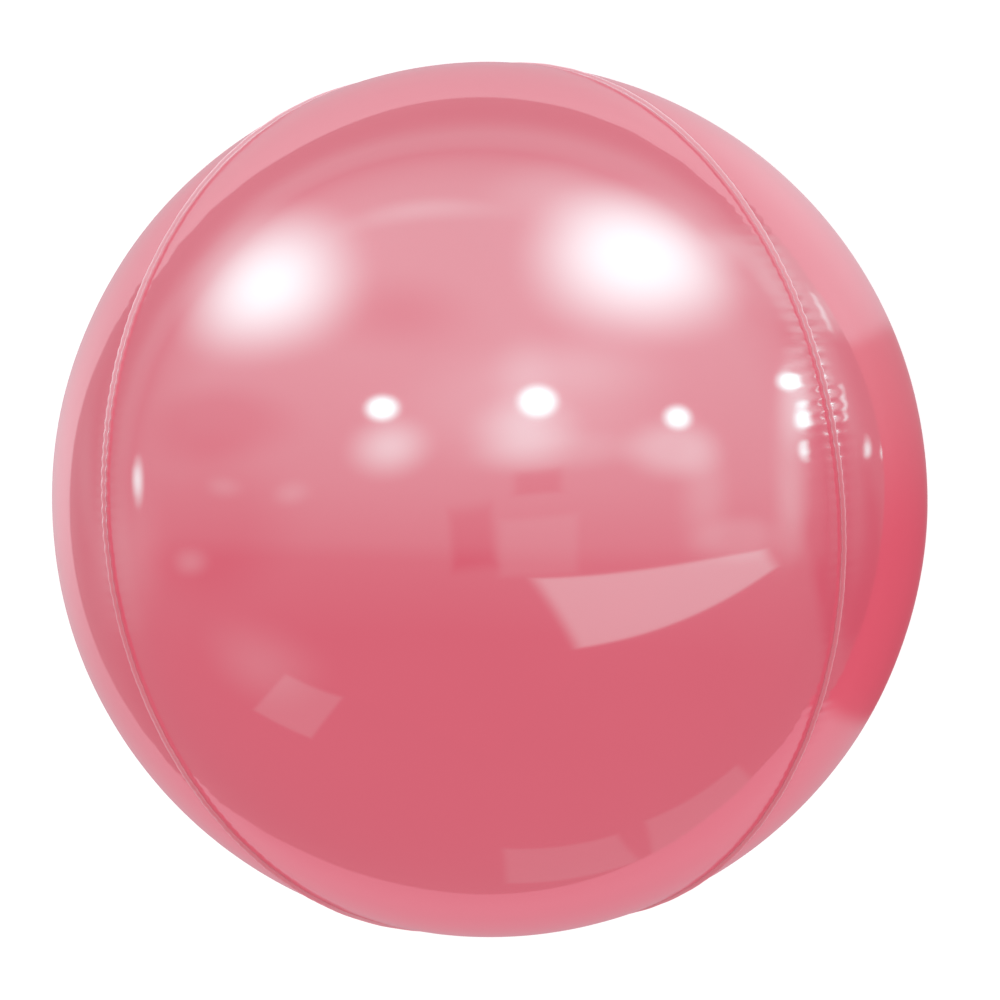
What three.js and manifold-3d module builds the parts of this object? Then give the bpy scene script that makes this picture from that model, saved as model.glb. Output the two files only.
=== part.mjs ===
// Round foil balloon welded from four film gores, lying on its side with its filling tail hanging down.
// Millimetres, +Z up. The seams run from pole to pole along Y.
// The origin is the centre of the flat spot that the balloon rests on.
import * as THREE from 'three';
import { LoftGeometry } from 'three/addons/geometries/LoftGeometry.js';
import { mergeVertices } from 'three/addons/utils/BufferGeometryUtils.js';
import Module from 'manifold-3d';

// Envelope
const BALLOON_DIAMETER = 550;
const GORES_AROUND = ['gore_upper', 'gore_right', 'gore_lower', 'gore_left'];
const RESTING_GORE = 'gore_lower';
const FLAT_SPOT_RADIUS = 38;
const PIECE_GAP = 0.3;

// Seams: the film draws in beside each one, and the two welded plies stand out as a fin
const SEAM_DIP = 1.2;
const SEAM_DIP_WIDTH = 22;
const FIN_HEIGHT = 2.6;
const FIN_TIP_HEIGHT = 0.5;
const FIN_PLY = 0.6;
const FIN_TAPER_START = THREE.MathUtils.degToRad(50);
const TIP_LATITUDE = THREE.MathUtils.degToRad(88.5);

// Filling tail: a flat neck that bulges a little where it leaves the pole
const TAIL_LENGTH = 85;
const TAIL_WIDTH = 44;
const TAIL_ROOT_WIDTH = 26;
const TAIL_ROOT_BULGE = 7;
const TAIL_FLARE_LENGTH = 24;
const TAIL_THICKNESS = 0.8;
const TAIL_LEAD = 3;
const TAIL_BEND_RADIUS = 10;
const TAIL_CORNER_RADIUS = 8;

// Facets
const GORE_ROWS = 36;
const GORE_COLUMNS = 16;
const COLUMN_CROWDING = 1.4;
const TAIL_COLUMNS = 5;
const TAIL_FLARE_STEPS = 8;
const TAIL_CORNER_STEPS = 4;

const RADIUS = BALLOON_DIAMETER / 2;
const CENTRE_HEIGHT = Math.sqrt(RADIUS ** 2 - FLAT_SPOT_RADIUS ** 2);
const GORE_TURN = (2 * Math.PI) / GORES_AROUND.length;
const HALF_GORE = GORE_TURN / 2;
const FACE_OFFSET = PIECE_GAP / 2;
const ROOT_OFFSET = FACE_OFFSET + FIN_PLY;

const wasm = await Module();
wasm.setup();

// Unit direction at a latitude from the equator and a longitude about Y, counted from +Z.
function direction(latitude, longitude) {
  const reach = Math.cos(latitude);
  return new THREE.Vector3(
    reach * Math.sin(longitude),
    Math.sin(latitude),
    reach * Math.cos(longitude),
  );
}

// Distance of the film from the balloon's centre: each gore bulges a little between its two seams.
function filmRadius(latitude, longitude) {
  const reach = Math.cos(latitude);
  const fromSeam = RADIUS * reach * (HALF_GORE - Math.abs(longitude));
  return RADIUS - SEAM_DIP * reach * Math.exp(-fromSeam / SEAM_DIP_WIDTH);
}

// Height of the seam fin, which dies away towards the poles.
function finHeight(latitude) {
  const left = 1 - THREE.MathUtils.smoothstep(Math.abs(latitude), FIN_TAPER_START, TIP_LATITUDE);
  return FIN_TIP_HEIGHT + (FIN_HEIGHT - FIN_TIP_HEIGHT) * left;
}

// Evenly spaced values from -1 to 1, crowded towards both ends.
function columnPlaces() {
  return Array.from({ length: GORE_COLUMNS + 1 }, (_, column) => {
    const even = (2 * column) / GORE_COLUMNS - 1;
    return Math.sign(even) * (1 - (1 - Math.abs(even)) ** COLUMN_CROWDING);
  });
}

// The two tip corners of the fin ply on one side: -1 is the gore's left seam, 1 its right one.
function finTip(latitude, side) {
  const seam = side * HALF_GORE;
  const inward = new THREE.Vector3(-side * Math.cos(seam), 0, side * Math.sin(seam));
  const tip = direction(latitude, seam).multiplyScalar(
    filmRadius(latitude, seam) + finHeight(latitude),
  );
  return {
    face: tip.clone().addScaledVector(inward, FACE_OFFSET),
    outside: tip.clone().addScaledVector(inward, ROOT_OFFSET),
  };
}

// Closed outline of a gore at one latitude: the axis, one fin, across the film, the other fin.
function goreSection(latitude) {
  const rootReach = filmRadius(latitude, HALF_GORE) * Math.cos(latitude);
  const halfFilm = HALF_GORE - Math.asin(ROOT_OFFSET / rootReach);
  const film = columnPlaces().map((place) => {
    const longitude = place * halfFilm;
    return direction(latitude, longitude).multiplyScalar(filmRadius(latitude, longitude));
  });
  const left = finTip(latitude, -1);
  const right = finTip(latitude, 1);
  const axis = new THREE.Vector3(
    0,
    RADIUS * Math.sin(latitude),
    FACE_OFFSET / Math.sin(HALF_GORE),
  );
  return [axis, left.face, left.outside, ...film, right.outside, right.face];
}

// A gore centred on +Z about the balloon's centre, solid to the axis because the envelope is sealed.
function goreGeometry() {
  const sections = Array.from({ length: GORE_ROWS + 1 }, (_, row) =>
    goreSection(TIP_LATITUDE * ((2 * row) / GORE_ROWS - 1)),
  );
  return new LoftGeometry(sections, { capStart: true, capEnd: true });
}

function solidOf(geometry) {
  const bare = new THREE.BufferGeometry().copy(geometry);
  bare.deleteAttribute('normal');
  bare.deleteAttribute('uv');
  const merged = mergeVertices(bare);
  return new wasm.Manifold(
    new wasm.Mesh({
      numProp: 3,
      vertProperties: merged.attributes.position.array,
      triVerts: new Uint32Array(merged.index.array),
    }),
  );
}

function geometryOf(solid) {
  const mesh = solid.getMesh();
  const geometry = new THREE.BufferGeometry();
  geometry.setAttribute('position', new THREE.BufferAttribute(mesh.vertProperties, 3));
  geometry.setIndex(new THREE.BufferAttribute(mesh.triVerts, 1));
  geometry.computeVertexNormals();
  return geometry;
}

// The resting gore, with the flat spot that keeps the balloon from rolling.
function restingGoreGeometry() {
  const depth = RADIUS - CENTRE_HEIGHT;
  const slab = new THREE.BoxGeometry(RADIUS, RADIUS, 2 * depth);
  slab.translate(0, 0, CENTRE_HEIGHT + depth);
  return geometryOf(solidOf(goreGeometry()).subtract(solidOf(slab)));
}

// Centre of the tail, and the direction of its upper or outer side, at a length along it.
function tailFrame(along) {
  const bendLength = TAIL_BEND_RADIUS * (Math.PI / 2);
  const turn = THREE.MathUtils.clamp((along - TAIL_LEAD) / TAIL_BEND_RADIUS, 0, Math.PI / 2);
  const lead = Math.min(along, TAIL_LEAD);
  const drop = Math.max(along - TAIL_LEAD - bendLength, 0);
  return {
    centre: new THREE.Vector3(
      0,
      -lead - TAIL_BEND_RADIUS * Math.sin(turn),
      -TAIL_BEND_RADIUS * (1 - Math.cos(turn)) - drop,
    ),
    outside: new THREE.Vector3(0, -Math.sin(turn), Math.cos(turn)),
  };
}

// Closed outline across the tail at a length along it.
function tailSection(along) {
  const flare = THREE.MathUtils.smoothstep(along, 0, TAIL_FLARE_LENGTH);
  const toCorner = Math.max(TAIL_CORNER_RADIUS - (TAIL_LENGTH - along), 0);
  const cornerCut = TAIL_CORNER_RADIUS - Math.sqrt(TAIL_CORNER_RADIUS ** 2 - toCorner ** 2);
  const halfWidth = THREE.MathUtils.lerp(TAIL_ROOT_WIDTH, TAIL_WIDTH, flare) / 2 - cornerCut;
  const bulge = (TAIL_ROOT_BULGE - TAIL_THICKNESS) * (1 - flare);
  const { centre, outside } = tailFrame(along);
  const edge = (side) =>
    Array.from({ length: TAIL_COLUMNS + 1 }, (_, column) => {
      const across = (2 * column) / TAIL_COLUMNS - 1;
      const half = (TAIL_THICKNESS + bulge * Math.sqrt(1 - across ** 2)) / 2;
      const point = centre.clone().addScaledVector(outside, side * half);
      point.x = across * halfWidth;
      return point;
    });
  return [...edge(-1), ...edge(1).reverse()];
}

// Filling tail from the pole outwards: a bend, a straight drop and two rounded corners.
function tailGeometry() {
  const steps = (from, to, count) =>
    Array.from({ length: count }, (_, step) => from + ((to - from) * step) / count);
  const cornerStart = TAIL_LENGTH - TAIL_CORNER_RADIUS;
  const stations = [
    ...steps(0, TAIL_FLARE_LENGTH, TAIL_FLARE_STEPS),
    TAIL_FLARE_LENGTH,
    ...steps(cornerStart, TAIL_LENGTH, TAIL_CORNER_STEPS),
    TAIL_LENGTH,
  ];
  return new LoftGeometry(stations.map(tailSection), { capStart: true, capEnd: true });
}

function foilMaterial() {
  return new THREE.MeshStandardMaterial({ color: 0xdc6d7e, roughness: 0.18, metalness: 0.7 });
}

function sealedFoilMaterial() {
  return new THREE.MeshStandardMaterial({ color: 0xe39aa6, roughness: 0.35, metalness: 0.5 });
}

function foilBalloon() {
  const balloon = new THREE.Group();
  balloon.position.z = CENTRE_HEIGHT;
  GORES_AROUND.forEach((name, place) => {
    const geometry = name === RESTING_GORE ? restingGoreGeometry() : goreGeometry();
    const gore = new THREE.Mesh(geometry, foilMaterial());
    gore.name = name;
    gore.rotation.y = place * GORE_TURN;
    balloon.add(gore);
  });
  const tail = new THREE.Mesh(tailGeometry(), sealedFoilMaterial());
  tail.name = 'filling_tail';
  tail.position.y = -(RADIUS + FIN_TIP_HEIGHT + PIECE_GAP);
  balloon.add(tail);
  const part = new THREE.Group();
  part.add(balloon);
  return part;
}

export default foilBalloon();
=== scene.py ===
# %% [markdown]
# A round foil balloon is made of long pointed leaves of thin film, called gores. They are welded edge to
# edge and blown up until they are taut, so every seam stands out as a narrow fin of two plies.
# This lesson dresses four solid quarters of a ball as that film: camera and light first, then the film,
# then the filling tail, then the finishes.

# %% load the frame
import math

import bpy
import numpy as np
from mathutils import Matrix, Vector


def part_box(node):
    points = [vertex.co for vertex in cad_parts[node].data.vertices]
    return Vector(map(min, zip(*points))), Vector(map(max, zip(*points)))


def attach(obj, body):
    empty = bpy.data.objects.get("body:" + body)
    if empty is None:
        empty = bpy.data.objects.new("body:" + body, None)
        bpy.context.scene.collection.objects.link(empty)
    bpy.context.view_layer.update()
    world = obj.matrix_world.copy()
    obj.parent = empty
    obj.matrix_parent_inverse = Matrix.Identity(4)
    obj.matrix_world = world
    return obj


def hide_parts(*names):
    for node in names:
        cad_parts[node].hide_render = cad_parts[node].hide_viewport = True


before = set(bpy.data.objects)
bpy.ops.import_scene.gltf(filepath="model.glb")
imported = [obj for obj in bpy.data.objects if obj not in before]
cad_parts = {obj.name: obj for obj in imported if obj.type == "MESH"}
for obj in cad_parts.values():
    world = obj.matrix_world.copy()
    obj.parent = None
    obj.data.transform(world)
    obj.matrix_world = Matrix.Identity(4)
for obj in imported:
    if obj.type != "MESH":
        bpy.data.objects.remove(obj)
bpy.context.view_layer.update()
print("solids to dress:", sorted(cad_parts))

# %% [markdown]
# The balloon lies on its side. Its two poles point along Y, and the gore that the camera looks at is on
# top. All sizes come from the solids, so the film always fits them.

# %% sizes read from the solids
MM = 0.001
side_low, side_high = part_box("gore_left")
RADIUS = -side_low.x
CENTRE = Vector((0, 0, (side_low.z + side_high.z) / 2))
GORES = ["gore_upper", "gore_right", "gore_lower", "gore_left"]
HALF_GORE = math.pi / len(GORES)
print(f"ball of {2 * RADIUS:.3f} m, centre {CENTRE.z:.4f} m above the floor")

# %% [markdown]
# The camera looks down on the lying ball. In the photograph the ball is a circle whose two visible seams
# are curves. Near things look larger, so those curves tell how far away the lens was: about three and a
# half radii. They also tell how the poles lean in the picture. Three angles hold that, and together they
# turn the balloon's own axes into the camera's.

# %% camera
EYE_DISTANCE = 3.62 * RADIUS
POLE_LEAN = math.radians(-6.24)
POLE_TIP = math.radians(2.28)
GORE_SWING = math.radians(-3.2)
FRAME_PIXELS = 1000
BALL_PIXEL = Vector((490.4, 499.5))
BALL_PIXEL_RADIUS = 437.8
SENSOR_MM = 36
FOCAL_PIXELS = BALL_PIXEL_RADIUS * math.sqrt((EYE_DISTANCE / RADIUS) ** 2 - 1)


def view_to_world():
    """Rotation from the camera's axes (right, up, towards the eye) to the balloon's."""
    pole = Vector((
        math.sin(POLE_LEAN),
        math.cos(POLE_LEAN) * math.cos(POLE_TIP),
        math.cos(POLE_LEAN) * math.sin(POLE_TIP),
    ))
    sideways = pole.cross(Vector((0, 0, 1))).normalized()
    forwards = sideways.cross(pole)
    gore_middle = math.sin(GORE_SWING) * sideways + math.cos(GORE_SWING) * forwards
    return Matrix((pole.cross(gore_middle), pole, gore_middle))


def pixel_slope(pixel):
    """How far a pixel's ray moves right and up for each metre away from the lens."""
    middle = FRAME_PIXELS / 2
    return (pixel[0] - middle) / FOCAL_PIXELS, (middle - pixel[1]) / FOCAL_PIXELS


turn = view_to_world()
aside, above = pixel_slope(BALL_PIXEL)
eye = CENTRE + turn @ Vector((-aside, -above, 1)) * EYE_DISTANCE
bpy.ops.object.select_all(action="DESELECT")
bpy.ops.object.camera_add(location=eye, rotation=turn.to_euler())
camera = bpy.context.object
camera.name = "photo_camera"
camera.data.sensor_width = SENSOR_MM
camera.data.lens = FOCAL_PIXELS / FRAME_PIXELS * SENSOR_MM
bpy.context.scene.camera = camera
print(f"lens {camera.data.lens:.1f} mm, {EYE_DISTANCE:.3f} m from the ball's centre")

# %% [markdown]
# Finishes and light are built from nodes. Wiring nodes one by one hides the idea, so one small class
# wraps a socket. Arithmetic on it adds Math nodes, and its node method adds any other kind: the node's
# type, its settings, then the values or links of its sockets.

# %% a socket that can be reckoned with


class Wire:
    """A socket of a node tree, or the bare tree where no socket is given."""

    def __init__(self, tree, socket=None):
        self.tree = tree
        self.socket = socket

    def node(self, kind, settings=None, inputs=None, output=0):
        """Adds a node, sets it up, fills its sockets and returns one of its outputs."""
        made = self.tree.nodes.new(kind)
        for name, value in (settings or {}).items():
            if name == "stops":
                self.set_stops(made.color_ramp, value)
            else:
                setattr(made, name, value)
        for name, value in (inputs or {}).items():
            if isinstance(value, Wire):
                self.tree.links.new(value.socket, made.inputs[name])
            else:
                made.inputs[name].default_value = value
        return Wire(self.tree, made.outputs[output] if made.outputs else None)

    @staticmethod
    def set_stops(ramp, stops):
        while len(ramp.elements) < len(stops):
            ramp.elements.new(1.0)
        for element, (place, grey) in zip(ramp.elements, stops):
            element.position = place
            element.color = (grey, grey, grey, 1)

    def math(self, operation, first, second):
        return self.node("ShaderNodeMath", {"operation": operation}, {0: first, 1: second})

    def __add__(self, other):
        return self.math("ADD", self, other)

    def __sub__(self, other):
        return self.math("SUBTRACT", self, other)

    def __rsub__(self, other):
        return self.math("SUBTRACT", other, self)

    def __mul__(self, other):
        return self.math("MULTIPLY", self, other)

    def __pow__(self, power):
        return self.math("POWER", self, power)

    def __abs__(self):
        return self.math("ABSOLUTE", self, 0)

    __radd__ = __add__
    __rmul__ = __mul__


print("sums of sockets become Math nodes")

# %% [markdown]
# Three more kinds of node come up again and again: one that rises from one value to another, one that
# blends two colours, and one that makes a colour stronger or weaker.

# %% rise, blend and scale
# A Mix node has sockets of one name for numbers, vectors and colours, so its colours go by place.
MIX_FIRST, MIX_SECOND, MIX_RESULT = 6, 7, 2


def rise(value, start, end, low=0.0, high=1.0, kind="SMOOTHSTEP"):
    """Goes from low to high while the value goes from start to end, and stays level outside them."""
    return value.node(
        "ShaderNodeMapRange",
        {"interpolation_type": kind},
        {"Value": value, "From Min": start, "From Max": end, "To Min": low, "To Max": high},
    )


def blend(share, first, second):
    """The first colour where the share is 0, the second where it is 1."""
    colours = {"Factor": share, MIX_FIRST: first, MIX_SECOND: second}
    return share.node("ShaderNodeMix", {"data_type": "RGBA"}, colours, MIX_RESULT)


def scaled(colour, strength):
    return strength.node("ShaderNodeVectorMath", {"operation": "SCALE"}, {0: colour, "Scale": strength})


print("helpers for nodes: rise, blend, scaled")

# %% [markdown]
# A shiny ball shows its whole surroundings, so the studio is part of its looks. The room answers three
# kinds of ray. The camera sees a pale backdrop. The film's tint gets an even light from all round. The
# mirror sees a room with cool light: dim on the tail's side and low down, brighter towards the far side
# and upwards, with one darker band just below level. Two ramps paint that, one for each of those
# directions. A ramp reads 0 to 1, so a direction's -1 to 1 is squeezed into that.

# %% room
ROOM_DIM = 0.53
ROOM_BRIGHT = 2.2
ROOM_SLANT = 0.13
FAR_STOPS = [
    (0.25, 0.0),
    (0.35, 0.1),
    (0.395, 0.16),
    (0.435, 0.37),
    (0.55, 0.63),
    (0.65, 0.76),
    (0.85, 1.0),
]
HEIGHT_STOPS = [
    (0.25, 0.14),
    (0.29, 0.17),
    (0.32, 0.26),
    (0.37, 0.62),
    (0.405, 0.58),
    (0.43, 0.42),
    (0.475, 0.68),
    (0.53, 0.85),
    (0.6, 1.0),
]

world = bpy.data.worlds.new("studio")
world.use_nodes = True
world.node_tree.nodes.clear()
bpy.context.scene.world = world
room = Wire(world.node_tree)
towards = room.node("ShaderNodeTexCoord", output="Generated")
right = room.node("ShaderNodeSeparateXYZ", inputs={0: towards}, output="X")
far = room.node("ShaderNodeSeparateXYZ", inputs={0: towards}, output="Y") + ROOM_SLANT * right
high = room.node("ShaderNodeSeparateXYZ", inputs={0: towards}, output="Z")
far_share = room.node("ShaderNodeValToRGB", {"stops": FAR_STOPS}, {0: 0.5 + 0.5 * far})
high_share = room.node("ShaderNodeValToRGB", {"stops": HEIGHT_STOPS}, {0: 0.5 + 0.5 * high})
mirrored = ROOM_DIM + (ROOM_BRIGHT - ROOM_DIM) * far_share * high_share
print(f"mirrored room from {ROOM_DIM} to {ROOM_BRIGHT}")

# %% [markdown]
# The lamps are placed backwards, from the glints that they leave on the ball. A ray goes from the lens
# through the glint's pixel to the ball and bounces off, and the lamp shines from where the bounce points.
# A convex mirror squeezes what lies towards its rim, so four more rays, at the ends of the glint's two
# arms, find how large and how slanted the lamp has to be.

# %% from a glint to a direction
BEHIND_WEIGHT = 2


def mirror_ray(pixel):
    """The direction in which the view through a pixel bounces off the ball."""
    right, up = pixel_slope(pixel)
    look = (turn @ Vector((right, up, -1))).normalized()
    away = eye - CENTRE
    half = away.dot(look)
    reach = -half - math.sqrt(half * half - away.length_squared + RADIUS * RADIUS)
    hit = eye + look * reach
    return look.reflect((hit - CENTRE).normalized())


def dot(vector, fixed):
    return room.node("ShaderNodeVectorMath", {"operation": "DOT_PRODUCT"}, {0: vector, 1: fixed}, "Value")


def place_on_lamp(glint, arms):
    """A direction's place on a lamp: 1 at the end of each arm, and large behind the lamp."""
    glint = Vector(glint)
    middle = mirror_ray(glint)
    first, second = (
        (mirror_ray(glint + Vector(arm)) - mirror_ray(glint - Vector(arm))) / 2 for arm in arms
    )
    upright = first.cross(second)
    along_first = second.cross(upright) / first.dot(second.cross(upright))
    along_second = first.cross(upright) / second.dot(first.cross(upright))
    offset = room.node("ShaderNodeVectorMath", {"operation": "SUBTRACT"}, {0: towards, 1: middle})
    return dot(offset, along_first), dot(offset, along_second), dot(offset, BEHIND_WEIGHT * middle)


print("the ball's middle mirrors the direction", [round(x, 2) for x in mirror_ray(BALL_PIXEL)])

# %% [markdown]
# A lamp is round and fades out from its core, as a softbox does. A card has clear edges and one tone. It
# may taper along its first arm, and its upper edge may bow outwards.

# %% lamp and card
CARD_CORE = 0.84


def lamp_light(glint, arms, radiance, core=0.0):
    a, b, c = place_on_lamp(glint, arms)
    return rise((a * a + b * b + c * c) ** 0.5, core, 1, radiance, 0)


def card_light(glint, arms, radiance, taper=0.0, bow=0.0, core=CARD_CORE):
    a, b, c = place_on_lamp(glint, arms)
    half_bow = bow / 2 * (1 - a * a)
    narrowed = abs(b - half_bow) - half_bow + taper * a
    edge = room.math("MAXIMUM", room.math("MAXIMUM", abs(a), narrowed), abs(c))
    return rise(edge, core, 1, radiance, 0)


print(f"a card keeps one tone over {CARD_CORE:.0%} of its arms")

# %% [markdown]
# Two big softboxes make the large white glints. A row of small lamps, a few lamps at the side and two
# tubes make the sharp ones. Glints and arms are in the photograph's pixels.

# %% lamps
LAMPS = {
    "left_softbox": {"glint": (269, 282), "arms": ((104, -68), (48, 68)), "radiance": 6.2},
    "right_softbox": {"glint": (637, 257), "arms": ((142, 26), (-4, 92)), "radiance": 6.2, "core": 0.1},
    "row_lamp_left": {"glint": (382, 409), "arms": ((23, -3), (3, 17)), "radiance": 13},
    "row_lamp_middle": {"glint": (537, 402), "arms": ((27, 0), (0, 22)), "radiance": 13},
    "row_lamp_right": {"glint": (678, 417), "arms": ((20, 0), (0, 17)), "radiance": 11},
    "side_lamp_high": {"glint": (794, 381), "arms": ((18, 9), (-8, 14)), "radiance": 12},
    "side_lamp_low": {"glint": (809, 416), "arms": ((15, 0), (0, 20)), "radiance": 8},
    "side_lamp_edge": {"glint": (838, 407), "arms": ((6, 0), (0, 26)), "radiance": 3.5},
    "side_lamp_lowest": {"glint": (810, 448), "arms": ((10, 0), (0, 11)), "radiance": 6},
    "side_lamp_right": {"glint": (865, 450), "arms": ((7, 0), (0, 14)), "radiance": 5},
    "side_lamp_outer": {"glint": (882, 453), "arms": ((5, 0), (0, 12)), "radiance": 6},
    "side_tube": {"glint": (134, 480), "arms": ((9, 0), (0, 32)), "radiance": 5},
    "thin_tube": {"glint": (818, 311), "arms": ((19, 32), (4, -3)), "radiance": 2.4},
}

for facts in LAMPS.values():
    mirrored = mirrored + lamp_light(**facts)
print(f"{len(LAMPS)} lamps in the mirrored room")

# %% [markdown]
# Lamps also light what is round them. Broad, weak glows stand for that, and without them the room in the
# mirror would look empty.

# %% glows
GLOWS = {
    "overhead": {"glint": (530, 405), "arms": ((190, 0), (0, 80)), "radiance": 0.6, "core": 0.2},
    "overhead_right": {"glint": (580, 366), "arms": ((130, 0), (0, 46)), "radiance": 0.7},
    "overhead_edge": {"glint": (420, 212), "arms": ((120, -14), (2, 16)), "radiance": 0.8},
    "softbox_edge": {"glint": (566, 191), "arms": ((110, 8), (0, 44)), "radiance": 0.8},
    "softbox_right": {"glint": (731, 246), "arms": ((32, 22), (14, -20)), "radiance": 0.9},
    "row_high": {"glint": (524, 378), "arms": ((44, 0), (0, 62)), "radiance": 0.6},
    "row_left": {"glint": (389, 447), "arms": ((54, -4), (0, 38)), "radiance": 2.6},
    "row_middle": {"glint": (524, 431), "arms": ((72, -4), (0, 50)), "radiance": 2.1},
    "row_right": {"glint": (674, 450), "arms": ((64, 0), (0, 40)), "radiance": 1.6, "core": 0.2},
    "row_band": {"glint": (556, 452), "arms": ((115, -6), (0, 27)), "radiance": 0.6, "core": 0.2},
    "strip": {"glint": (797, 478), "arms": ((28, 0), (0, 125)), "radiance": 1.1},
    "side_lamps": {"glint": (805, 398), "arms": ((30, 10), (-6, 70)), "radiance": 2.5},
    "right": {"glint": (704, 495), "arms": ((36, 0), (0, 90)), "radiance": 0.7},
    "far_right": {"glint": (792, 274), "arms": ((58, 70), (34, -28)), "radiance": 1.0, "core": 0.3},
    "right_edge": {"glint": (836, 312), "arms": ((28, 36), (26, -16)), "radiance": 1.0},
    "left_edge": {"glint": (88, 480), "arms": ((14, 0), (0, 120)), "radiance": 0.35},
    "left": {"glint": (120, 562), "arms": ((46, 0), (0, 112)), "radiance": 0.5},
    "small_left": {"glint": (224, 486), "arms": ((26, 4), (-4, 15)), "radiance": 0.55},
    "small_right": {"glint": (292, 492), "arms": ((26, -6), (4, 17)), "radiance": 0.6},
    "low_left": {"glint": (262, 664), "arms": ((70, 42), (-34, 38)), "radiance": 0.55},
    "small_low": {"glint": (190, 562), "arms": ((26, 0), (0, 20)), "radiance": 0.8},
    "above_card": {"glint": (737, 541), "arms": ((56, -4), (0, 30)), "radiance": 0.6, "core": 0.3},
}

for facts in GLOWS.values():
    mirrored = mirrored + lamp_light(**facts)
print(f"{len(GLOWS)} glows in the mirrored room")

# %% [markdown]
# A negative radiance takes light away. These shades stand for the darker places that a mirror shows
# between pale ones.

# %% shades
SHADES = {
    "right": {"glint": (848, 535), "arms": ((46, 0), (0, 215)), "radiance": -0.36, "core": 0.6},
    "left": {"glint": (205, 520), "arms": ((100, 0), (0, 105)), "radiance": -0.3, "core": 0.3},
    "left_high": {"glint": (215, 425), "arms": ((95, -12), (5, 50)), "radiance": -0.5, "core": 0.3},
    "between_softboxes": {"glint": (400, 312), "arms": ((105, 0), (0, 52)), "radiance": -0.6},
}

for facts in SHADES.values():
    mirrored = mirrored + lamp_light(**facts)
print(f"{len(SHADES)} shades in the mirrored room")

# %% [markdown]
# Straight-edged glints come from flat cards. One is large and slanted, and gets narrower to the right. The
# others are faint, and two of them take light away.

# %% cards
CARDS = {
    "slanted": {
        "glint": (673, 597),
        "arms": ((115, -29), (-13, -23)),
        "radiance": 1.6,
        "taper": 0.58,
        "bow": 0.36,
    },
    "low_right": {"glint": (703, 813), "arms": ((58, -36), (9, 16)), "radiance": 0.35},
    "low_middle": {"glint": (566, 864), "arms": ((68, -10), (7, 17)), "radiance": 0.35},
    "low_left": {"glint": (298, 707), "arms": ((31, 14), (-17, 20)), "radiance": 0.5},
    "pale_middle": {"glint": (540, 545), "arms": ((46, -3), (0, 33)), "radiance": 0.3, "core": 0.7},
    "dim_middle": {"glint": (472, 536), "arms": ((28, -4), (3, 40)), "radiance": -0.4, "core": 0.5},
    "dim_strip": {"glint": (538, 482), "arms": ((31, -2), (0, 15)), "radiance": -0.45, "core": 0.5},
}

for facts in CARDS.values():
    mirrored = mirrored + card_light(**facts)
print(f"{len(CARDS)} cards in the mirrored room")

# %% [markdown]
# The three answers are joined by what kind of ray asks. The mirrored light is blue-green, so that it
# whitens the pink film without turning it orange. The backdrop is a pale grey, so that the ball's
# brightest edges still stand out in front of it.

# %% backdrop and even light
BACKDROP = 0.74
EVEN_LIGHT = 1.3
WHITE = (1, 1, 1, 1)
MIRROR_TINT = (0.38, 1.0, 0.97)

seen = room.node("ShaderNodeBackground", inputs={"Color": WHITE, "Strength": BACKDROP})
even = room.node("ShaderNodeBackground", inputs={"Color": WHITE, "Strength": EVEN_LIGHT})
shown = room.node("ShaderNodeBackground", inputs={"Color": scaled(MIRROR_TINT, mirrored), "Strength": 1.0})
is_mirror = room.node("ShaderNodeLightPath", output="Is Glossy Ray")
is_camera = room.node("ShaderNodeLightPath", output="Is Camera Ray")
soft = room.node("ShaderNodeMixShader", inputs={0: is_mirror, 1: even, 2: shown})
every = room.node("ShaderNodeMixShader", inputs={0: is_camera, 1: soft, 2: seen})
room.node("ShaderNodeOutputWorld", inputs={"Surface": every})
bpy.context.scene.view_settings.view_transform = "Standard"
print(f"{len(world.node_tree.nodes)} nodes in the room")

# %% [markdown]
# The floor is a sheet of paper with round corners. Bevelling a plane by its points rounds them.

# %% floor
FLOOR_SIZE = (1.75, 2.15)
FLOOR_MIDDLE = (0.13, -0.17)
FLOOR_CORNER = 0.45
CORNER_SEGMENTS = 12
FLOOR_DROP = 0.3 * MM

bpy.ops.object.select_all(action="DESELECT")
bpy.ops.mesh.primitive_plane_add(size=1, location=(*FLOOR_MIDDLE, -FLOOR_DROP))
floor = bpy.context.object
floor.name = "studio_floor"
floor.scale = (*FLOOR_SIZE, 1)
bpy.ops.object.transform_apply(location=True, scale=True)
bpy.ops.object.mode_set(mode="EDIT")
bpy.ops.mesh.select_all(action="SELECT")
bpy.ops.mesh.bevel(affect="VERTICES", offset=FLOOR_CORNER, segments=CORNER_SEGMENTS)
bpy.ops.object.mode_set(mode="OBJECT")
print(f"floor {FLOOR_SIZE[0]} by {FLOOR_SIZE[1]} m")

# %% [markdown]
# To the camera the paper is matt, white under the ball and greyer towards its edges, where it meets the
# backdrop. A little light of its own keeps it white, and more of it reaches the film's tint from below.

# %% paper as it looks
FLOOR_WHITE = (0.92, 0.92, 0.92, 1)
FLOOR_EDGE = (0.57, 0.57, 0.57, 1)
FLOOR_FADE = (0.68, 1.0)
FLOOR_LIFT = 0.06
FLOOR_GLOW = 0.42

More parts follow.
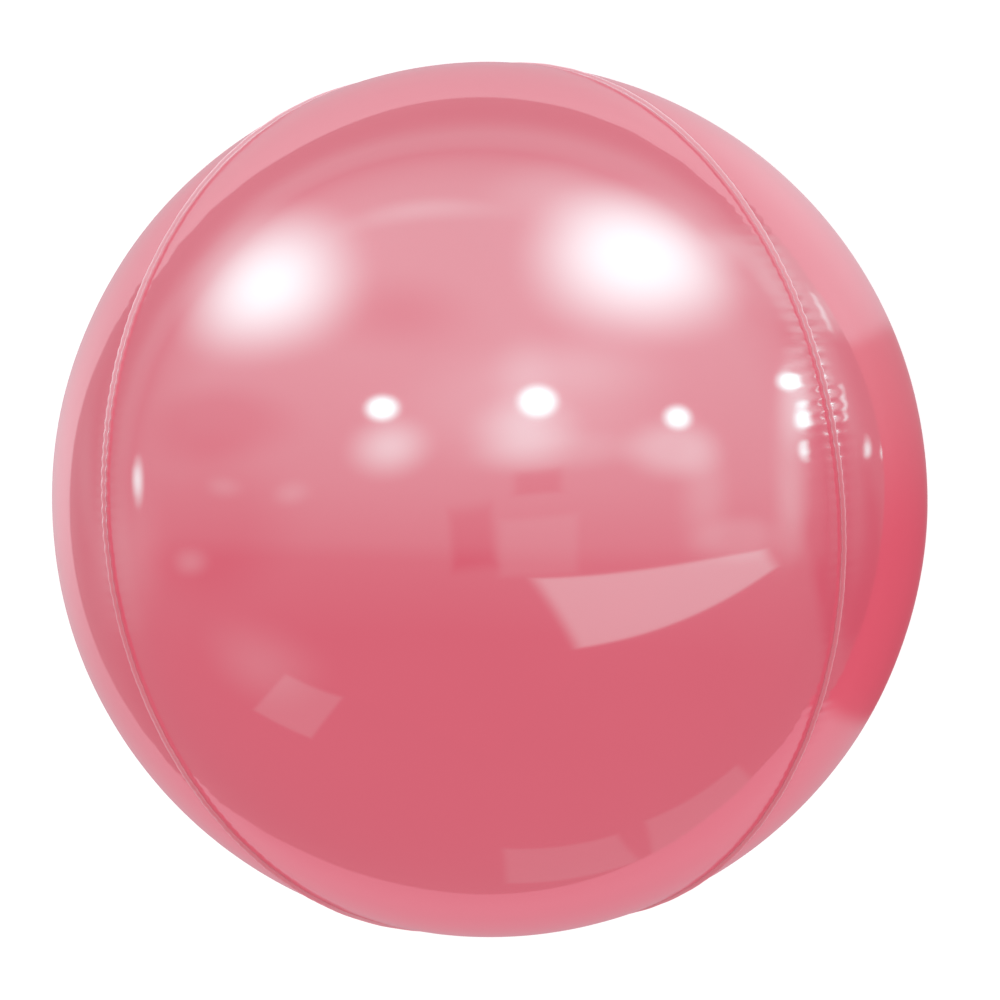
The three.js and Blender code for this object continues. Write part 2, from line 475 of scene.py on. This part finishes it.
paper = bpy.data.materials.new("floor_paper")
paper.use_nodes = True
paper.node_tree.nodes.clear()
floor.data.materials.append(paper)
sheet = Wire(paper.node_tree)
spot = sheet.node("ShaderNodeTexCoord", output="Object")
out = sheet.node("ShaderNodeVectorMath", {"operation": "LENGTH"}, {0: spot}, "Value")
edge_share = rise(out, *FLOOR_FADE)
is_camera = sheet.node("ShaderNodeLightPath", output="Is Camera Ray")
is_diffuse = sheet.node("ShaderNodeLightPath", output="Is Diffuse Ray")
lit = sheet.node(
    "ShaderNodeBsdfPrincipled",
    inputs={
        "Base Color": blend(edge_share, FLOOR_WHITE, FLOOR_EDGE),
        "Roughness": 1.0,
        "Specular IOR Level": 0.0,
        "Emission Color": FLOOR_LIFT * is_camera * (1 - edge_share) + FLOOR_GLOW * is_diffuse,
        "Emission Strength": 1.0,
    },
)
print(f"paper fades to grey from {FLOOR_FADE[0]} to {FLOOR_FADE[1]} m out")

# %% [markdown]
# The ball's lighter rim is the paper's mirror image, a painted reflection. There the paper is painted like
# the room: dimmer on the tail's side, with painted shade beside the ball, two painted pools of light, and a
# painted dark wedge on the right, the one dark side that black flags laid in a studio give a shiny thing.

# %% paper in the mirror
MIRROR_FLOOR = 1.8
MIRROR_FLOOR_NEAR = (0.56, 0.51, 0.56, 1)
MIRROR_FLOOR_FAR = (0.74, 1.0, 1.02, 1)
FLOOR_DIM = (0.2, -0.9)
SHADE_REACH = (0.3, 0.9)
SHADE_LEAST = 0.38
POOLS = [(-0.64, 0.11, 0), (0.42, 0.36, 0)]
POOL_REACH = 0.38
POOL_LIFT = 0.4
# A wedge of painted shade in the paper's mirror image; no dark sheet lies there.
DARK_WEDGE_MIDDLE = math.radians(-11.3)
DARK_WEDGE_HALF = math.radians(28.1)
DARK_WEDGE_SOFT = math.radians(1.8)
DARK_WEDGE_FADE = (math.radians(-15), math.radians(14))
DARK_WEDGE_START = (0.28, 0.46)
DARK_WEDGE_DEEP = (0.45, 0.14, 0.16, 1)
DARK_WEDGE_GREY = (0.52, 0.46, 0.46, 1)

right = sheet.node("ShaderNodeSeparateXYZ", inputs={0: spot}, output="X")
far = sheet.node("ShaderNodeSeparateXYZ", inputs={0: spot}, output="Y")
bearing = sheet.math("ARCTAN2", far, right)
# Painted shade: the wedge where the mirrored paper is darkened.
past_wedge = rise(abs(bearing - DARK_WEDGE_MIDDLE), DARK_WEDGE_HALF - DARK_WEDGE_SOFT, DARK_WEDGE_HALF + DARK_WEDGE_SOFT)
on_wedge = (1 - past_wedge) * rise(out, *DARK_WEDGE_START)
wedge_tone = blend(rise(bearing, *DARK_WEDGE_FADE), DARK_WEDGE_DEEP, DARK_WEDGE_GREY)
graded = blend(rise(far, *FLOOR_DIM), MIRROR_FLOOR_FAR, MIRROR_FLOOR_NEAR)
for middle in POOLS:
    off = sheet.node("ShaderNodeVectorMath", {"operation": "DISTANCE"}, {0: spot, 1: middle}, "Value")
    graded = scaled(graded, rise(off, 0, POOL_REACH, 1 + POOL_LIFT, 1))
strength = MIRROR_FLOOR * rise(out, *SHADE_REACH, low=SHADE_LEAST, kind="LINEAR")
glow = scaled(blend(on_wedge, graded, wedge_tone), strength)
shown = sheet.node("ShaderNodeEmission", inputs={"Color": glow, "Strength": 1.0})
is_mirror = sheet.node("ShaderNodeLightPath", output="Is Glossy Ray")
whole = sheet.node("ShaderNodeMixShader", inputs={0: is_mirror, 1: lit, 2: shown})
sheet.node("ShaderNodeOutputMaterial", inputs={"Surface": whole})
print(f"{len(paper.node_tree.nodes)} nodes in the paper")

# %% [markdown]
# A gore starts as a flat leaf of film, here a grid with narrow strips down both long edges for the welds.
# Inflating it could be simulated, but a ball under pressure is so nearly round that a formula gives a
# cleaner mirror: each grid point gets a latitude and a longitude, and its height above or below the ball
# is added up from a few effects.

# %% the flat leaf
ALONG_STEPS = 600
FILM_STEPS = 62
FIN_STEPS = 4
COLUMNS = FILM_STEPS + 2 * FIN_STEPS
CROWDING = 1.8


def grid_places(name, columns, rows):
    """A new grid, and the places of its points across and along it, from -1 to 1."""
    bpy.ops.object.select_all(action="DESELECT")
    bpy.ops.mesh.primitive_grid_add(x_subdivisions=columns, y_subdivisions=rows, size=2)
    grid = bpy.context.object
    grid.name = name
    flat = np.empty(len(grid.data.vertices) * 3)
    grid.data.vertices.foreach_get("co", flat)
    across, along, _ = flat.reshape(-1, 3).T
    return grid, across, along


def flat_leaf(name):
    """A grid, and for each of its points the latitude, the place across and the height up the fin."""
    leaf, across, along = grid_places(name, COLUMNS, ALONG_STEPS)
    column = np.round((across + 1) / 2 * COLUMNS)
    even = np.clip((column - FIN_STEPS) / FILM_STEPS * 2 - 1, -1, 1)
    place = np.sign(even) * (1 - (1 - np.abs(even)) ** CROWDING)
    fin = np.maximum(FIN_STEPS - column, column - FIN_STEPS - FILM_STEPS) / FIN_STEPS
    return leaf, along * math.pi / 2, place, np.clip(fin, 0, 1)


print(f"a leaf has {COLUMNS} by {ALONG_STEPS} faces")

# %% [markdown]
# A leaf's edge is longer than the line that it is pulled onto, so the film gathers beside every weld in
# small puckers. The two plies of a fin belong to two gores, so what happens at a seam depends on the seam's
# number and on the length along it, never on the gore: then both plies wave together.

# %% seams
SEAM_DIP = 0.8 * MM
SEAM_DIP_WIDTH = 22 * MM
GATHER_PITCH = 7.0 * MM
GATHER_DRIFT = 31 * MM
GATHER_WANDER = 1.9
GATHER_SWELL = 47 * MM
GATHER_MEAN, GATHER_RANGE = 0.62, 0.38
GATHER_FADE = 4
GATHER_DEPTH = 0.35 * MM
GATHER_REACH = 6 * MM
TUCK_PITCH = 26 * MM
TUCK_WANDER = 2.3
TUCK_HEIGHT = 0.07 * MM
TUCK_REACH = 22 * MM
# Steps of phase from one seam to the next, so that no two seams are alike.
DRIFT_STEP, SWELL_STEP, GATHER_STEP = 1.3, 2.2, 2.4
TUCK_DRIFT_STEP, TUCK_STEP = 0.7, 1.1


def gathers(along, seam):
    """The small puckers at a length along a seam, from -1 to 1. They fade away from the ball's middle."""
    drift = GATHER_WANDER * np.sin(along / GATHER_DRIFT + DRIFT_STEP * seam)
    swell = GATHER_MEAN + GATHER_RANGE * np.sin(along / GATHER_SWELL + SWELL_STEP * seam)
    fade = np.cos(along / RADIUS) ** GATHER_FADE
    return swell * fade * np.sin(2 * math.pi * along / GATHER_PITCH + drift + GATHER_STEP * seam)


def tucks(along, seam):
    """The longer, softer folds that run further into the film."""
    drift = TUCK_WANDER * np.sin(along / GATHER_SWELL + TUCK_DRIFT_STEP * seam)
    return np.sin(2 * math.pi * along / TUCK_PITCH + drift + TUCK_STEP * seam)


def seam_relief(along, from_seam, seam):
    """How far the film stands out beside one seam, in metres."""
    from_seam = np.maximum(from_seam, 0)
    pull = np.cos(along / RADIUS)
    dip = -SEAM_DIP * pull * np.exp(-from_seam / SEAM_DIP_WIDTH)
    small = GATHER_DEPTH * (gathers(along, seam) - pull) * np.exp(-from_seam / GATHER_REACH)
    long = TUCK_HEIGHT * tucks(along, seam) * np.exp(-from_seam / TUCK_REACH)
    return dip + small + long


print(f"gathers every {GATHER_PITCH / MM:.0f} mm beside the seams")

# %% [markdown]
# All the leaves crowd together at the poles, where the film folds like the spokes of a wheel. At one pole
# it is also drawn out a little towards the filling tail. Between the seams the film is nearly even, with
# only broad and very shallow waves.

# %% poles and slack
POLE_FOLDS = 28
POLE_FOLD_HEIGHT = 0.5 * MM
POLE_FOLD_REACH = 34 * MM
POLE_CENTRE_FADE = 4
POLE_WANDER, POLE_WANDER_COUNT = 3, 5
NECK_RISE = 4.2 * MM
NECK_HALF_WIDTH = 13 * MM
NECK_HALF_DEPTH = 4 * MM
NECK_SPREAD = 3
SLACK_HEIGHT = 0.14 * MM
# How fast the phase of each slack wave grows along X, Y and Z, in radians for each radius of the ball.
SLACK_ASIDE = (8, 3, 0)
SLACK_UP = (0, -4, 7)
SLACK_FAR = (6, 13, -9)
SLACK_PHASE = 1
SLACK_FAR_SHARE = 0.6


def pole_relief(latitude, longitude):
    """Folds that run out from both poles like spokes."""
    from_pole = RADIUS * (math.pi / 2 - np.abs(latitude))
    share = from_pole / POLE_FOLD_REACH
    near = np.exp(-(share**2)) * (1 - np.exp(-share * POLE_CENTRE_FADE))
    spokes = np.sin(POLE_FOLDS * longitude + POLE_WANDER * np.sin(longitude * POLE_WANDER_COUNT))
    return POLE_FOLD_HEIGHT * near * spokes


def neck_relief(way):
    """The film drawn out towards the tail, at the tail's pole only."""
    x, y, z = RADIUS * way.T
    off = (x / NECK_HALF_WIDTH) ** 2 + (z / NECK_HALF_DEPTH) ** 2
    return np.where(y < 0, NECK_RISE * np.exp(-off / NECK_SPREAD), 0)


def slack_relief(way):
    """Broad, very shallow waves of film that isn't pulled quite even."""
    crossed = np.sin(way @ SLACK_ASIDE + SLACK_PHASE) * np.sin(way @ SLACK_UP)
    return SLACK_HEIGHT * (crossed + SLACK_FAR_SHARE * np.sin(way @ SLACK_FAR))


print(f"{POLE_FOLDS} folds at each pole")

# %% [markdown]
# Now the leaf is wrapped on the ball. Points of the film go out along their own direction. Points of a
# weld strip leave the film at the seam and go straight out, as the two plies of a fin do. The fins get
# lower towards the poles, and the lowest gore is pressed flat by the floor.

# %% wrapping a leaf on the ball
FILM_THICKNESS = 0.15 * MM
PLY_SETBACK = 1.2 * FILM_THICKNESS
FIN_HEIGHT = 2.6 * MM
FIN_TIP_HEIGHT = 0.5 * MM
FIN_WAVE = 0.08 * MM
FIN_TAPER_START = math.radians(50)
FIN_TAPER_END = math.radians(82)
FLAT_SPOT_BLEND = 0.6 * MM
MERGE_DISTANCE = 1e-6


def ease(value, start, end):
    """0 before start, 1 after end, and a smooth rise between them."""
    share = np.clip((value - start) / (end - start), 0, 1)
    return share * share * (3 - 2 * share)


def fin_height(latitude):
    lost = ease(np.abs(latitude), FIN_TAPER_START, FIN_TAPER_END)
    return FIN_HEIGHT + (FIN_TIP_HEIGHT - FIN_HEIGHT) * lost


def direction(latitude, longitude):
    reach = np.cos(latitude)
    return np.stack([reach * np.sin(longitude), np.sin(latitude), reach * np.cos(longitude)], axis=1)


def rest_on_floor(height):
    """Heights with everything below the floor pressed up onto it, with a soft edge."""
    return (height + np.sqrt(height * height + FLAT_SPOT_BLEND**2)) / 2


def inflated_points(number, latitude, place, fin):
    reach = RADIUS * np.cos(latitude)
    ply = np.minimum(PLY_SETBACK / np.maximum(reach, MERGE_DISTANCE), HALF_GORE / 2)
    local = place * (HALF_GORE - ply)
    longitude = local + number * 2 * HALF_GORE
    along = RADIUS * latitude
    way = direction(latitude, longitude)
    out = RADIUS + slack_relief(way) + pole_relief(latitude, longitude) + neck_relief(way)
    for side, seam in ((1, number), (-1, (number - 1) % len(GORES))):
        out = out + seam_relief(along, reach * (HALF_GORE - side * local), seam)
    points = way * (out + fin * fin_height(latitude))[:, None]
    seam = np.where(place > 0, number, (number - 1) % len(GORES))
    wave = FIN_WAVE * gathers(along, seam) * fin * np.cos(latitude)
    points += np.stack([np.cos(longitude), 0 * longitude, -np.sin(longitude)], axis=1) * wave[:, None]
    points[:, 2] = rest_on_floor(points[:, 2] + CENTRE.z)
    return points


print(f"fins {FIN_HEIGHT / MM:.1f} mm high at the middle, {FIN_TIP_HEIGHT / MM:.1f} mm at the poles")

# %% [markdown]
# A weld is paler and duller than the film. Its pale tint is partly the weld's own colour and partly painted
# highlight, and a painted pale band beside it lightens the shade next to the fin. The painted highlight
# shows fully on the far half of the ball, where the light catches the fins, and less than half as much on
# the tail's half. A number for that is stored with each point, for the finish to read. A Solidify modifier
# then gives the film its thickness, inwards.

# %% the inflated gores
# Painted highlight on the welds: full on the far half of the ball, least on the tail's half.
HIGHLIGHT_FROM, HIGHLIGHT_TO = math.radians(-10), math.radians(30)
HIGHLIGHT_LEAST = 0.45
# A painted pale band beside each seam lightens the shade next to the fin.
PAINTED_SEAM_LIGHT = 0.6
PAINTED_SEAM_LIGHT_FROM, PAINTED_SEAM_LIGHT_TO = 0.8 * MM, 4 * MM


# The share mixes the weld's own paler tint with painted highlight: a painted pale band beside the seam, and
# a highlight that fades towards the tail's half.
def weld_and_highlight_share(latitude, place, fin):
    # Painted highlight that rises with latitude towards the far half.
    pale = HIGHLIGHT_LEAST + (1 - HIGHLIGHT_LEAST) * ease(latitude, HIGHLIGHT_FROM, HIGHLIGHT_TO)
    from_seam = RADIUS * np.cos(latitude) * HALF_GORE * (1 - np.abs(place))
    painted_seam_light = PAINTED_SEAM_LIGHT * (1 - ease(from_seam, PAINTED_SEAM_LIGHT_FROM, PAINTED_SEAM_LIGHT_TO))
    return pale * np.maximum(painted_seam_light * pale, np.clip(fin * FIN_STEPS, 0, 1))


def make_film(piece, points, weld):
    """Moves the grid's points, stores the share of weld tint and painted highlight, closes the poles and
    adds the thickness.
    """
    piece.data.vertices.foreach_set("co", points.ravel())
    piece.data.update()
    piece.data.attributes.new("seal", "FLOAT", "POINT").data.foreach_set("value", weld)
    bpy.ops.object.mode_set(mode="EDIT")
    bpy.ops.mesh.select_all(action="SELECT")
    bpy.ops.mesh.remove_doubles(threshold=MERGE_DISTANCE)
    bpy.ops.object.mode_set(mode="OBJECT")
    wall = piece.modifiers.new("thickness", "SOLIDIFY")
    wall.thickness = FILM_THICKNESS
    wall.offset = -1
    bpy.ops.object.modifier_apply(modifier=wall.name)
    bpy.ops.object.shade_smooth()


gore_films = {}
for number, node in enumerate(GORES):
    leaf, latitude, place, fin = flat_leaf(node + "_film")
    make_film(leaf, inflated_points(number, latitude, place, fin), weld_and_highlight_share(latitude, place, fin))
    gore_films[node] = leaf
    print(node, len(leaf.data.polygons), "faces")

# %% [markdown]
# The filling tail is a flat tube of the same film: two plies welded down both sides, open at the end. It
# swells a little where it leaves the pole, widens, and ends in two round corners. Two flat sheets could be
# joined for it, but one grid that goes right round bends as one piece.

# %% outline and opening of the tail
tail_low, tail_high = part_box("filling_tail")
TAIL_LEAD = 3 * MM
TAIL_BEND_RADIUS = 10 * MM
TAIL_BEND_LENGTH = TAIL_BEND_RADIUS * math.pi / 2
TAIL_DROP = CENTRE.z - TAIL_BEND_RADIUS - tail_low.z
TAIL_LENGTH = TAIL_LEAD + TAIL_BEND_LENGTH + TAIL_DROP
TAIL_WIDTH = tail_high.x - tail_low.x
TAIL_ROOT_WIDTH = 26 * MM
TAIL_ROOT_BULGE = 6.0 * MM
TAIL_FLARE_LENGTH = 24 * MM
TAIL_CORNER_RADIUS = 8 * MM
TAIL_WELD = 3.0 * MM
TAIL_WELD_FADE = 1.3 * TAIL_WELD
TAIL_LEAST_GAP = 1.1 * FILM_THICKNESS
TAIL_MOUTH = 1.6 * MM
TAIL_MOUTH_LENGTH = 22 * MM


def tail_outline(along):
    """Half the tail's width at a length along it, with the round corners of its end."""
    flare = ease(along, 0, TAIL_FLARE_LENGTH)
    half = (TAIL_ROOT_WIDTH + (TAIL_WIDTH - TAIL_ROOT_WIDTH) * flare) / 2
    corner = np.clip(TAIL_CORNER_RADIUS - (TAIL_LENGTH - along), 0, TAIL_CORNER_RADIUS)
    return half - TAIL_CORNER_RADIUS + np.sqrt(TAIL_CORNER_RADIUS**2 - corner**2)


def tail_opening(along, across):
    """Half the gap between the plies: none in the side welds, most at the pole and at the mouth."""
    open_half = tail_outline(along) - TAIL_WELD
    inside = np.clip(1 - (across / open_half) ** 2, 0, 1)
    root = TAIL_ROOT_BULGE / 2 * (1 - ease(along, 0, TAIL_FLARE_LENGTH))
    mouth = TAIL_MOUTH / 2 * ease(along, TAIL_LENGTH - TAIL_MOUTH_LENGTH, TAIL_LENGTH)
    return TAIL_LEAST_GAP + (root + mouth + FILM_THICKNESS) * np.sqrt(inside)


def tail_weld(along, across):
    """1 in the two side welds of the tail, 0 between them."""
    half = tail_outline(along)
    return ease(np.abs(across), half - TAIL_WELD_FADE, half - TAIL_WELD)


print(f"tail {TAIL_WIDTH / MM:.0f} mm wide, {TAIL_LENGTH / MM:.0f} mm long")

# %% [markdown]
# The grid goes once across the outer ply and back across the inner one, and is then bent over so that it
# hangs down. Soft creases keep it from looking like a card, and its welds carry the small ribs that a hot
# roller leaves.

# %% filling tail
TAIL_ACROSS = 44
TAIL_ALONG = 240
TAIL_INSET = 2.5 * MM
TAIL_CREASE = 0.35 * MM
TAIL_BUCKLE = 0.5 * MM
TAIL_RIB_PITCH = 1.8 * MM
TAIL_RIB_HEIGHT = 0.05 * MM
TAIL_PALE = 0.45
# How fast the phase of the creases and buckles grows, in radians for each metre of the tail.
CREASE_ACROSS, CREASE_ALONG = 330, 60
BUCKLE_ACROSS, BUCKLE_ALONG = 55, 140
BUCKLE_PHASE = 1.2


def tail_ripple(along, across):
    fade = ease(along, TAIL_LEAD, TAIL_FLARE_LENGTH)
    lengthways = TAIL_CREASE * np.sin(across * CREASE_ACROSS + along * CREASE_ALONG) * fade
    buckle = along * BUCKLE_ALONG + across * BUCKLE_ACROSS + BUCKLE_PHASE
    crossways = TAIL_BUCKLE * np.sin(buckle) * fade
    ribs = TAIL_RIB_HEIGHT * np.sin(2 * math.pi * along / TAIL_RIB_PITCH) * tail_weld(along, across)
    return lengthways + crossways + ribs


def tail_points(ply, along, across):
    """Places on the tube. The outer ply is 1 and the inner one -1."""
    bend = np.clip((along - TAIL_LEAD) / TAIL_BEND_RADIUS, 0, math.pi / 2)
    drop = np.maximum(along - TAIL_LEAD - TAIL_BEND_LENGTH, 0)
    lift = ply * tail_opening(along, across) + tail_ripple(along, across)
    y = tail_high.y - np.minimum(along, TAIL_LEAD) - (TAIL_BEND_RADIUS + lift) * np.sin(bend)
    z = CENTRE.z - TAIL_BEND_RADIUS * (1 - np.cos(bend)) - drop + lift * np.cos(bend)
    return np.stack([across, y, z], axis=1)


tail_film, turn_share, along_share = grid_places("filling_tail_film", 2 * TAIL_ACROSS, TAIL_ALONG)
along = (along_share + 1) / 2 * (TAIL_LENGTH + TAIL_INSET) - TAIL_INSET
across = (1 - 2 * np.abs(turn_share)) * tail_outline(along)
ply = np.where(turn_share <= 0, 1, -1)
make_film(tail_film, tail_points(ply, along, across), TAIL_PALE * tail_weld(along, across))
print("filling_tail", len(tail_film.data.polygons), "faces")

# %% [markdown]
# Metallised film is a clear sheet with a thin coat of metal and a tint. The tint gives the pink, the metal
# a soft lustre, and the smooth outer face a sharp reflection on top of both. A plain metal shader would
# tint every glint pink, and the photograph's glints are white. So the tint is the base colour, the lustre a
# rough and slightly metallic base, and the reflection a dense clear coat over part of it. The welds are
# paler, partly in their own tint and partly by painted highlight, and have less of the coat. Slow clouds
# and a fine grain keep the film from looking dead.

# %% foil finish
TINT_DEEP = (0.600, 0.054, 0.102, 1)
TINT_PALE = (0.630, 0.066, 0.115, 1)
WELD_AND_HIGHLIGHT_TINT = (0.86, 0.52, 0.57, 1)
WELD_AND_HIGHLIGHT_COVER = 0.75
METAL_SHARE = 0.1
LUSTRE_ROUGHNESS = 0.34
LUSTRE_RANGE = 0.06
FILM_IOR = 1.45
BASE_GLOSS = 0.1
COAT = 0.31
COAT_LOST = 0.24
COAT_ROUGHNESS = 0.045
COAT_IOR = 4.0
CLOUDS = {"Scale": 7.0, "Detail": 3.0}
GRAIN = {"Scale": 55.0, "Detail": 2.0}
SKIN_DEPTH = 0.02 * MM


def foil_finish(name):
    material = bpy.data.materials.new(name)
    material.use_nodes = True
    material.node_tree.nodes.clear()
    tree = Wire(material.node_tree)
    place = tree.node("ShaderNodeTexCoord", output="Object")
    clouds = tree.node("ShaderNodeTexNoise", inputs={"Vector": place, **CLOUDS})
    grain = tree.node("ShaderNodeTexNoise", inputs={"Vector": place, **GRAIN})
    # The stored weld number mixes in a paler tint that is partly the weld's own and partly painted
    # highlight.
    seal = tree.node("ShaderNodeAttribute", {"attribute_name": "seal"}, output="Fac")
    skin = tree.node("ShaderNodeBump", inputs={"Height": grain, "Distance": SKIN_DEPTH, "Strength": 1.0})
    surface = tree.node(
        "ShaderNodeBsdfPrincipled",
        inputs={
            "Base Color": blend(WELD_AND_HIGHLIGHT_COVER * seal, blend(clouds, TINT_DEEP, TINT_PALE), WELD_AND_HIGHLIGHT_TINT),
            "Metallic": METAL_SHARE,
            "Roughness": LUSTRE_ROUGHNESS + LUSTRE_RANGE * clouds,
            "IOR": FILM_IOR,
            "Specular IOR Level": BASE_GLOSS,
            "Coat Weight": COAT - COAT_LOST * seal,
            "Coat Roughness": COAT_ROUGHNESS,
            "Coat IOR": COAT_IOR,
            "Normal": skin,
        },
    )
    tree.node("ShaderNodeOutputMaterial", inputs={"Surface": surface})
    return material


foil = foil_finish("pink_foil")
sealed_foil = foil_finish("pink_sealed_foil")
print("finishes:", foil.name, sealed_foil.name)

# %% [markdown]
# Last, each piece gets its finish and rides on the root body, and the solid that it replaces is hidden.

for node, film in gore_films.items():
    film.data.materials.append(foil)
    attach(film, "root")
    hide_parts(node)

tail_film.data.materials.append(sealed_foil)
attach(tail_film, "root")
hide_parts("filling_tail")
